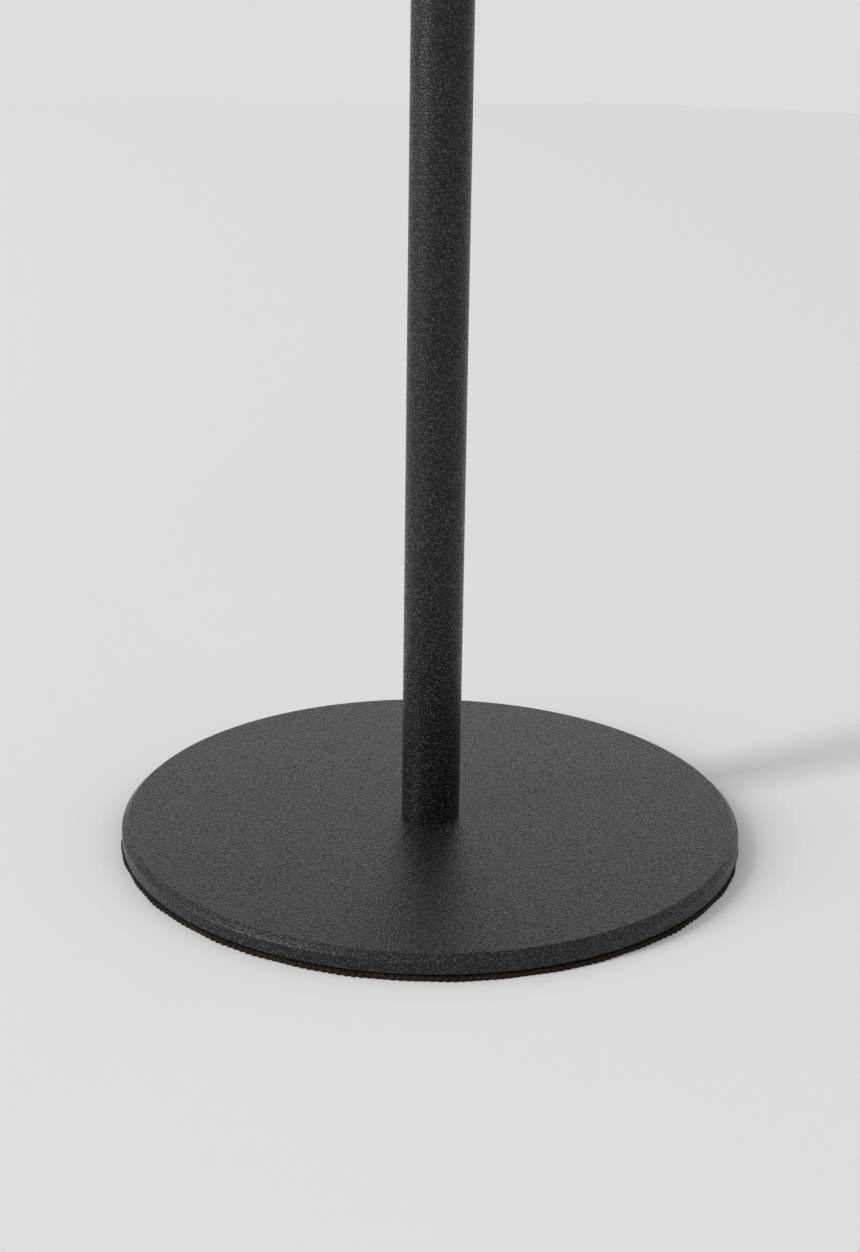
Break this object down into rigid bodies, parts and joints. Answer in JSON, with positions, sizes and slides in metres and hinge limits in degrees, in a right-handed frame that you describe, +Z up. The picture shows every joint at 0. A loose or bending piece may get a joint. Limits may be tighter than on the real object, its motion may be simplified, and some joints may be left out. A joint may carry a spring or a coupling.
{
  "type": "cordless desk lamp",
  "caption": "Cordless desk lamp with a round steel base, a thin tube stem and a dome head that tilts on a friction hinge, switched by a push button on its crown.",
  "frame": {"origin": "centre of the pad's underside, on the surface that the lamp stands on", "axes": "+Z up along the stem, -Y to the front, where the picture was taken from; the charging socket faces +Y, and the tilt axis runs along X"},
  "size_m": [0.15, 0.15, 0.3869],
  "materials": {
    "powder_coat": "fine-texture matte charcoal powder coat",
    "foam_pad": "textured anti-slip foam rubber",
    "zinc_steel": "bright zinc plated steel",
    "black_steel": "black oxide steel",
    "spring_steel": "polished spring steel",
    "acetal": "natural acetal",
    "bare_aluminium": "satin",
    "white_plastic": "moulded white reflector plastic",
    "opal_plastic": "opal diffusing acrylic",
    "black_plastic": "fine spark texture",
    "white_board": "white solder mask",
    "green_board": "green solder mask",
    "cell_wrap": "blue shrink sleeve",
    "nickel": "nickel plated",
    "lead_sheath": "red silicone sheath"
  },
  "bodies": {
    "stand": {"anti_slip_pad": "foam_pad", "base_plate": "powder_coat", "base_screw": "zinc_steel", "stem_foot_insert": "zinc_steel", "stem_tube": "powder_coat", "stem_knuckle": "black_steel"},
    "head": {"shade": "powder_coat", "ring_nut": "powder_coat", "hinge_bracket": "zinc_steel", "hinge_nut": "zinc_steel", "bracket_screw_front": "zinc_steel", "bracket_screw_rear": "zinc_steel", "led_board_screw_1": "zinc_steel", "led_board_screw_2": "zinc_steel", "led_board_screw_3": "zinc_steel", "housing_screw_1": "zinc_steel", "housing_screw_2": "zinc_steel", "housing_screw_3": "zinc_steel", "housing_screw_4": "zinc_steel", "control_screw_1": "zinc_steel", "control_screw_2": "zinc_steel", "control_screw_3": "zinc_steel", "usb_screw_left": "zinc_steel", "usb_screw_right": "zinc_steel", "hinge_bolt": "black_steel", "ring_screw_1": "black_steel", "ring_screw_2": "black_steel", "ring_screw_3": "black_steel", "spring_washer": "spring_steel", "friction_washer_left": "acetal", "friction_washer_right": "acetal", "chassis_plate": "bare_aluminium", "reflector_pan": "white_plastic", "diffuser": "opal_plastic", "retaining_ring": "black_plastic", "core_housing": "black_plastic", "battery_cradle": "black_plastic", "tact_switch": "black_plastic", "led_board": "white_board", "control_board": "green_board", "usb_board": "green_board", "battery_cell_left": "cell_wrap", "battery_cell_right": "cell_wrap", "cell_link_front": "nickel", "cell_link_rear": "nickel", "usb_socket": "nickel", "led_lead": "lead_sheath", "battery_lead": "lead_sheath", "usb_lead": "lead_sheath"},
    "button": {"power_button": "black_plastic", "switch_plunger": "acetal"}
  },
  "joints": [
    {"name": "head_tilt", "type": "hinge", "parent": "stand", "child": "head", "pos_m": [0, 0, 0.335], "axis": [1, 0, 0], "range_deg": [-30, 30]},
    {"name": "button_press", "type": "slide", "parent": "head", "child": "button", "axis": [0, 0, -1], "range_m": [0, 0.0006], "stiffness_N_per_m": 2500}
  ]
}
